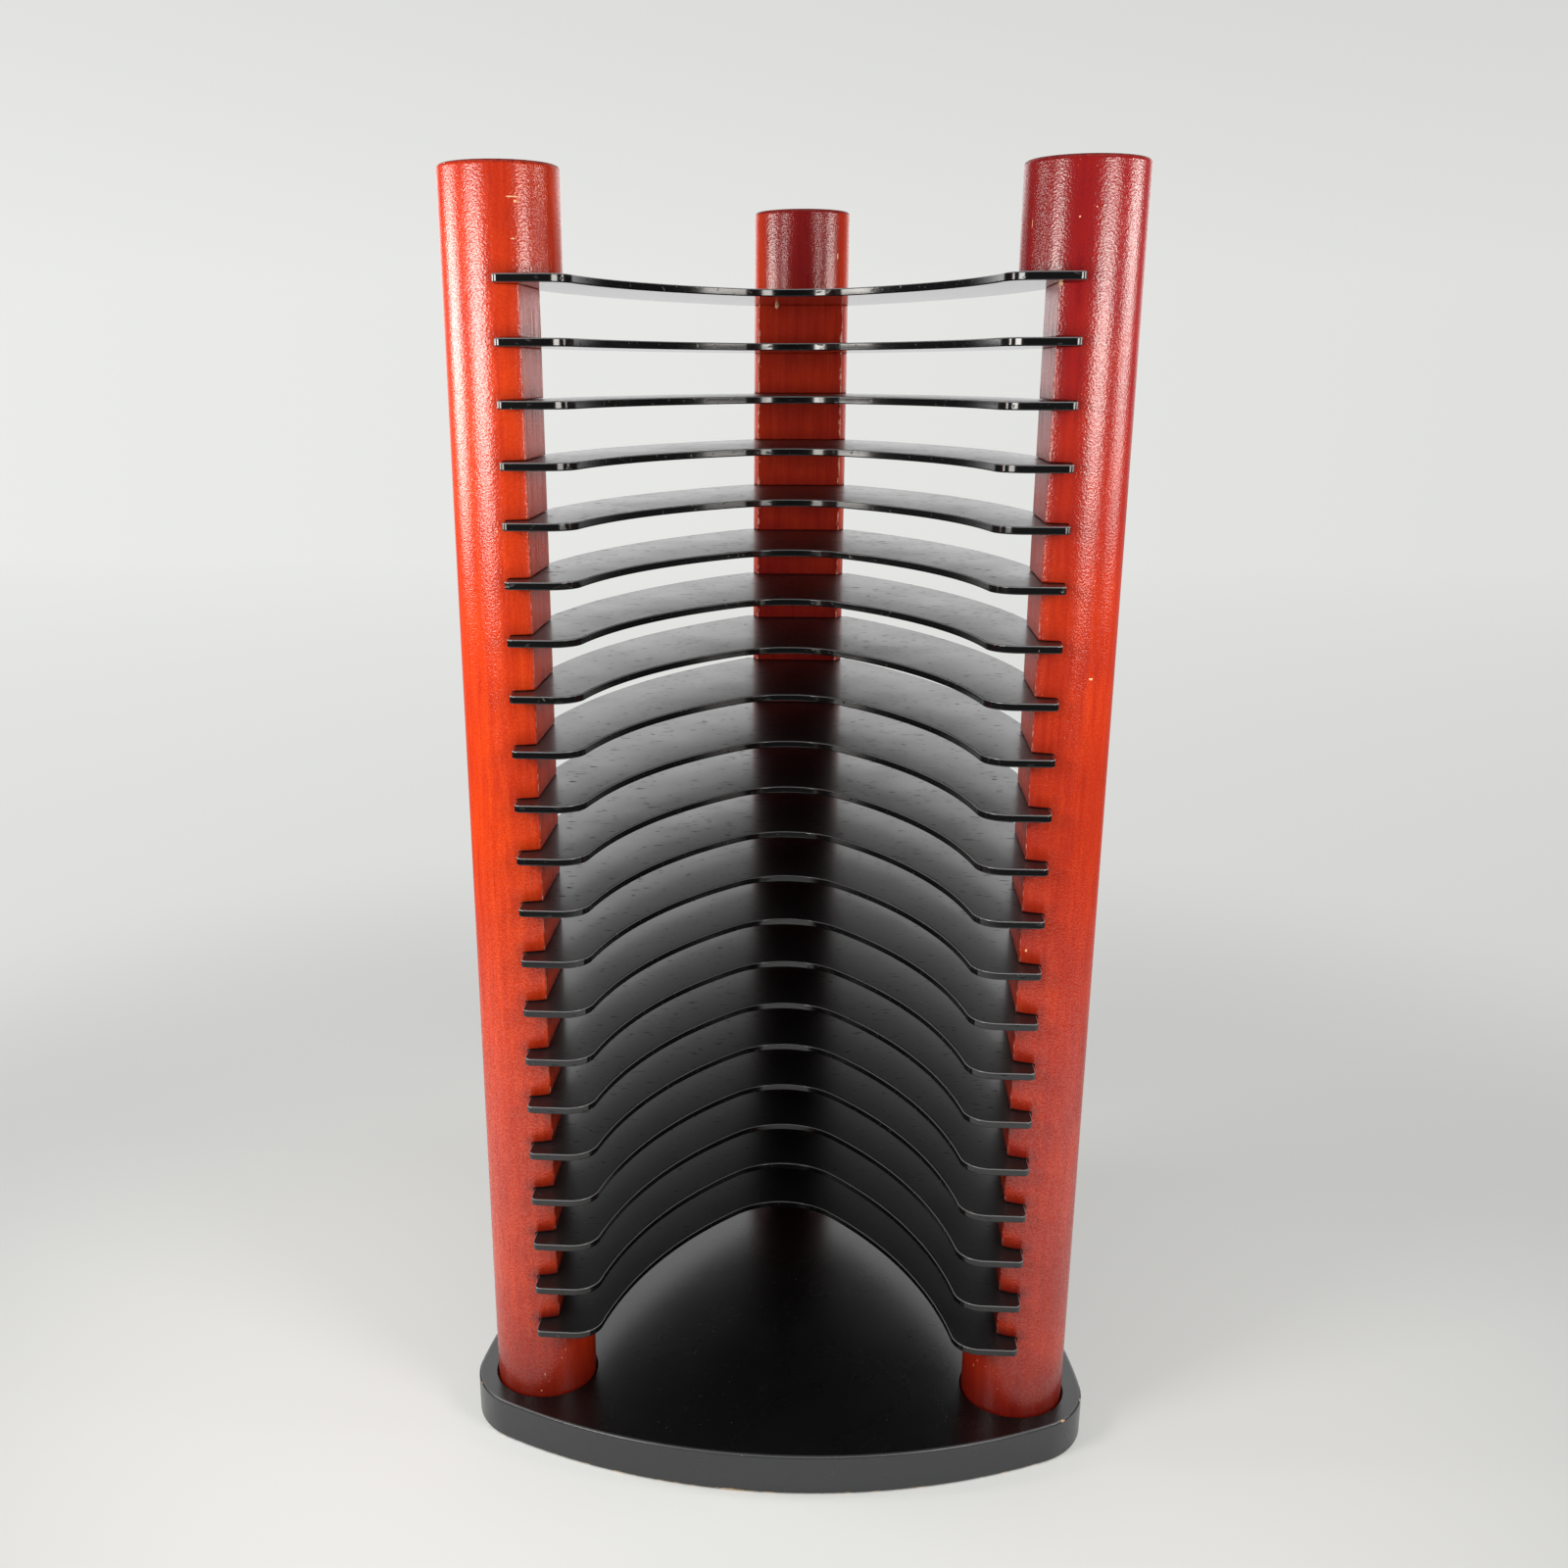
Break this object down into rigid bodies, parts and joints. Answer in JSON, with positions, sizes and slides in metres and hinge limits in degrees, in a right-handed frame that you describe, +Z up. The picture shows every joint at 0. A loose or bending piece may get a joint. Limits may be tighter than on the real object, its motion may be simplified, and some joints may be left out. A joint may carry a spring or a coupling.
{
  "type": "cd storage tower",
  "caption": "Free-standing tower for compact-disc cases: round red-stained posts on a bowed triangular base carry thin black shelves, glued into kerfs, with a deep finger bay.",
  "frame": {"origin": "on the floor, at the middle of the base plate's width and depth", "axes": "+Z up along the posts, -Y towards the front where the cases go in, +X to the right seen from the front"},
  "size_m": [0.1846, 0.1824, 0.355],
  "materials": {
    "base_board": "board painted satin black",
    "post_wood": "hardwood stained cherry red under gloss lacquer",
    "shelf_board": "thin board lacquered black",
    "screw_steel": "zinc-plated steel"
  },
  "bodies": {
    "root": {"base_plate": "base_board", "left_post": "post_wood", "right_post": "post_wood", "rear_post": "post_wood", "shelf_01": "shelf_board", "shelf_02": "shelf_board", "shelf_03": "shelf_board", "shelf_04": "shelf_board", "shelf_05": "shelf_board", "shelf_06": "shelf_board", "shelf_07": "shelf_board", "shelf_08": "shelf_board", "shelf_09": "shelf_board", "shelf_10": "shelf_board", "shelf_11": "shelf_board", "shelf_12": "shelf_board", "shelf_13": "shelf_board", "shelf_14": "shelf_board", "shelf_15": "shelf_board", "shelf_16": "shelf_board", "shelf_17": "shelf_board", "shelf_18": "shelf_board", "shelf_19": "shelf_board", "shelf_20": "shelf_board", "shelf_21": "shelf_board", "base_screws": "screw_steel"}
  },
  "joints": []
}
